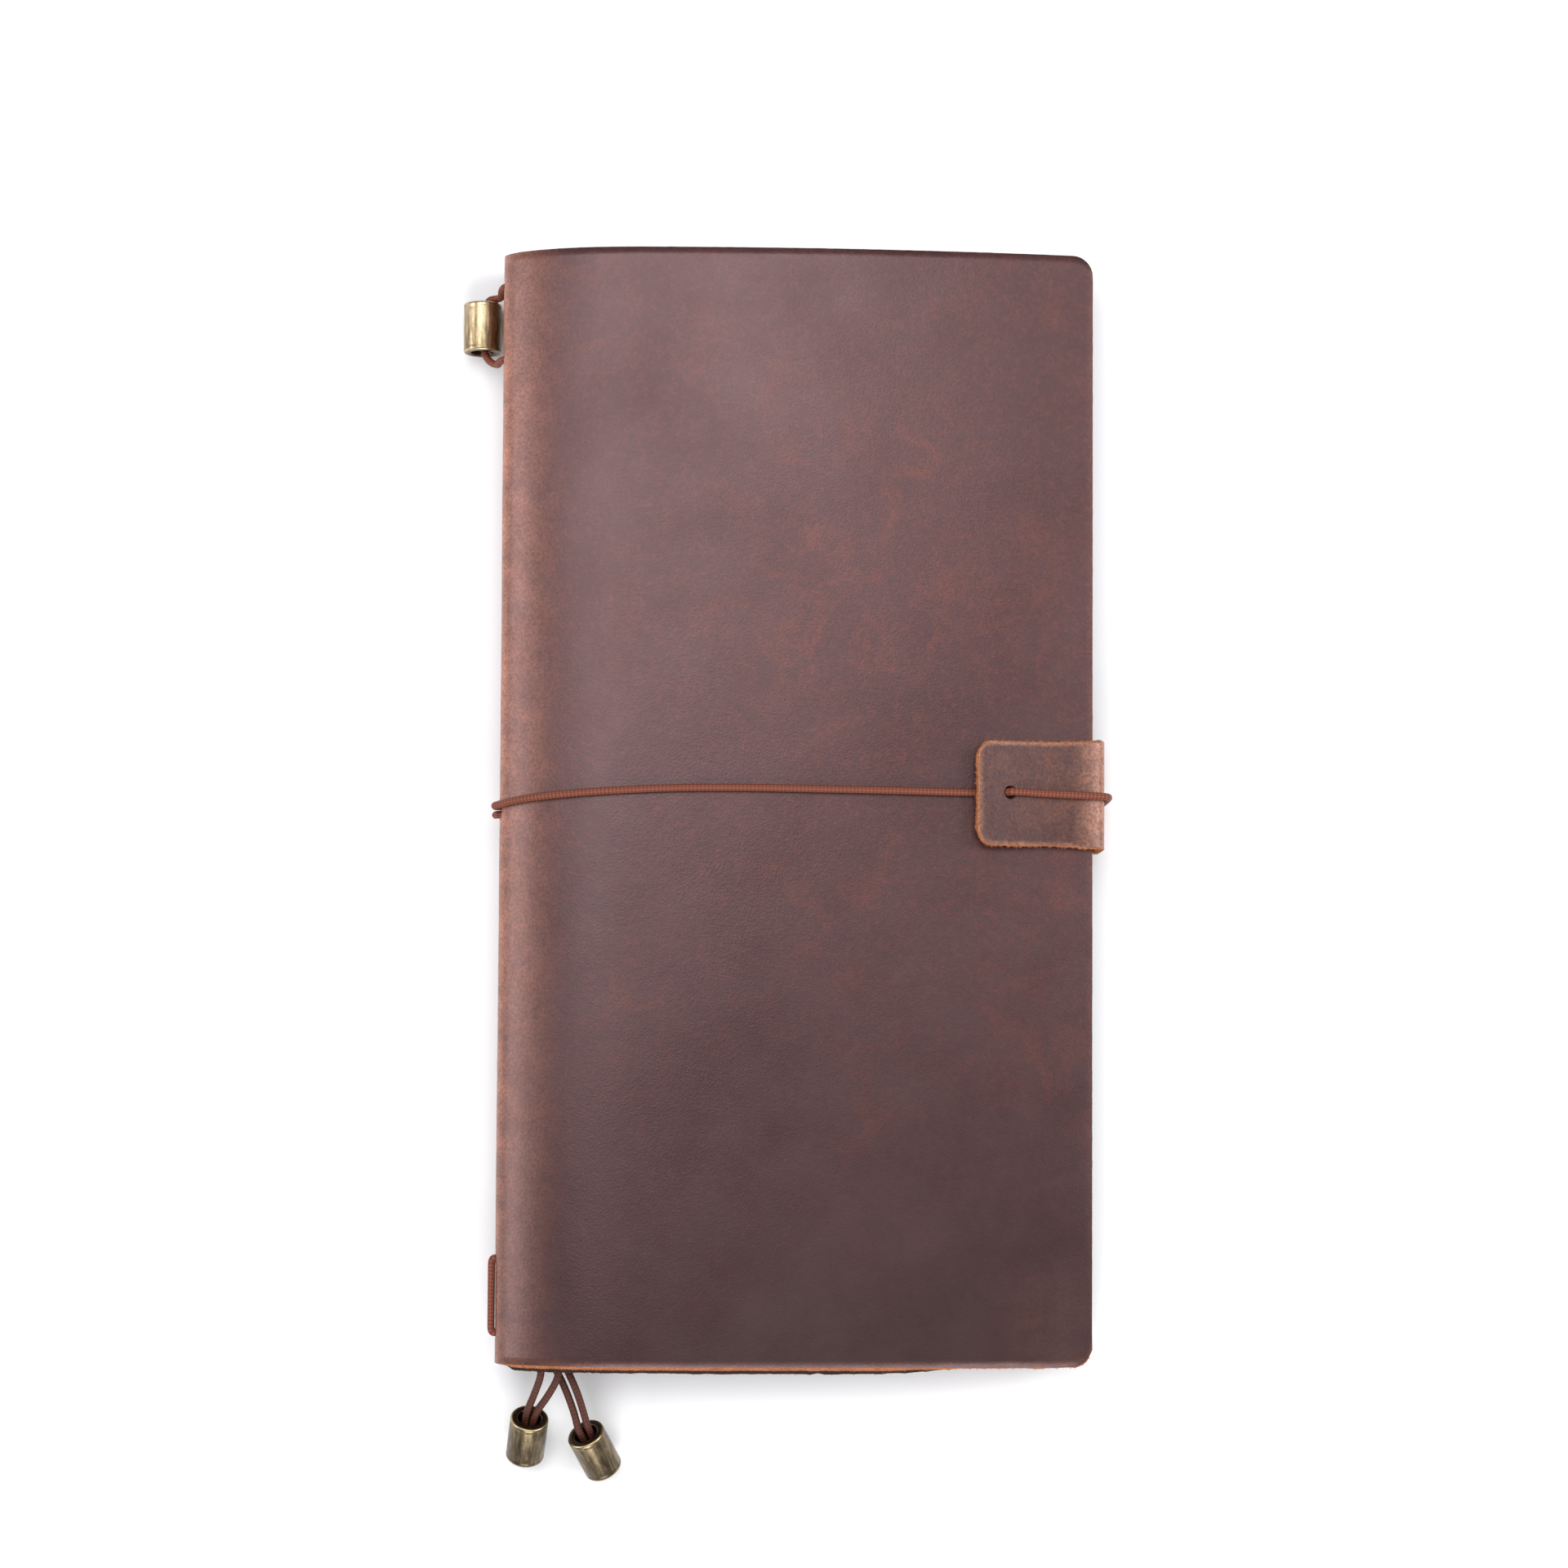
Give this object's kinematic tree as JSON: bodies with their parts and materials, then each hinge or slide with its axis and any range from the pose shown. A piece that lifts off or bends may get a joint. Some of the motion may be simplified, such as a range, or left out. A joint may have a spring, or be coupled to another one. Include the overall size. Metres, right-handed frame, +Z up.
{
  "type": "leather notebook cover",
  "caption": "Closed refillable notebook cover of thick brown leather with an elastic closure, a leather keeper tab, antique metal beads and bookmark cords.",
  "frame": {"origin": "on the table under the middle of the closed cover, measured without the bookmark cords and their beads", "axes": "+X from the spine to the fore edge, +Y up the page to the head, +Z up from the table"},
  "size_m": [0.13, 0.2438, 0.0206],
  "materials": {
    "leather": "satin",
    "tab_leather": "satin",
    "elastic": "woven",
    "bookmark_cord": "woven",
    "antique_brass": "aged",
    "kraft_card": "matte",
    "paper": "matte",
    "steel_wire": "satin"
  },
  "bodies": {
    "back_cover": {"cover_back_panel": "leather", "cover_spine": "leather", "closure_band": "elastic", "closure_tab": "tab_leather", "closure_knot": "elastic", "binding_elastic": "elastic", "binding_knot": "elastic", "booklet_1_cover": "kraft_card", "booklet_1_pages": "paper", "booklet_1_staples": "steel_wire", "booklet_2_cover": "kraft_card", "booklet_2_pages": "paper", "booklet_2_staples": "steel_wire", "bookmark_hitch_left": "bookmark_cord", "bookmark_hitch_right": "bookmark_cord", "bookmark_cord_left_a": "bookmark_cord", "bookmark_cord_left_b": "bookmark_cord", "bookmark_cord_right_a": "bookmark_cord", "bookmark_cord_right_b": "bookmark_cord", "bookmark_knot_left": "bookmark_cord", "bookmark_knot_right": "bookmark_cord"},
    "front_cover": {"cover_front_panel": "leather"},
    "bead_on_spine": {"spine_bead": "antique_brass"},
    "bead_on_left_bookmark": {"bookmark_bead_left": "antique_brass"},
    "bead_on_right_bookmark": {"bookmark_bead_right": "antique_brass"}
  },
  "joints": [
    {"name": "front_cover_hinge", "type": "hinge", "parent": "back_cover", "child": "front_cover", "pos_m": [-0.04975, 0, 0.0184], "axis": [0, -1, 0], "range_deg": [0, 191], "deforming": ["closure_band", "closure_tab"]},
    {"name": "spine_bead_turn", "type": "hinge", "parent": "back_cover", "child": "bead_on_spine", "pos_m": [-0.06125, 0.097, 0.0038], "axis": [0, 1, 0], "continuous": true},
    {"name": "left_bookmark_bead_turn", "type": "hinge", "parent": "back_cover", "child": "bead_on_left_bookmark", "pos_m": [-0.05009, -0.12509, 0.00595], "axis": [0.1384, 0.8174, 0.5592], "continuous": true},
    {"name": "right_bookmark_bead_turn", "type": "hinge", "parent": "back_cover", "child": "bead_on_right_bookmark", "pos_m": [-0.0367, -0.12778, 0.00594], "axis": [-0.3392, 0.7563, 0.5594], "continuous": true}
  ]
}
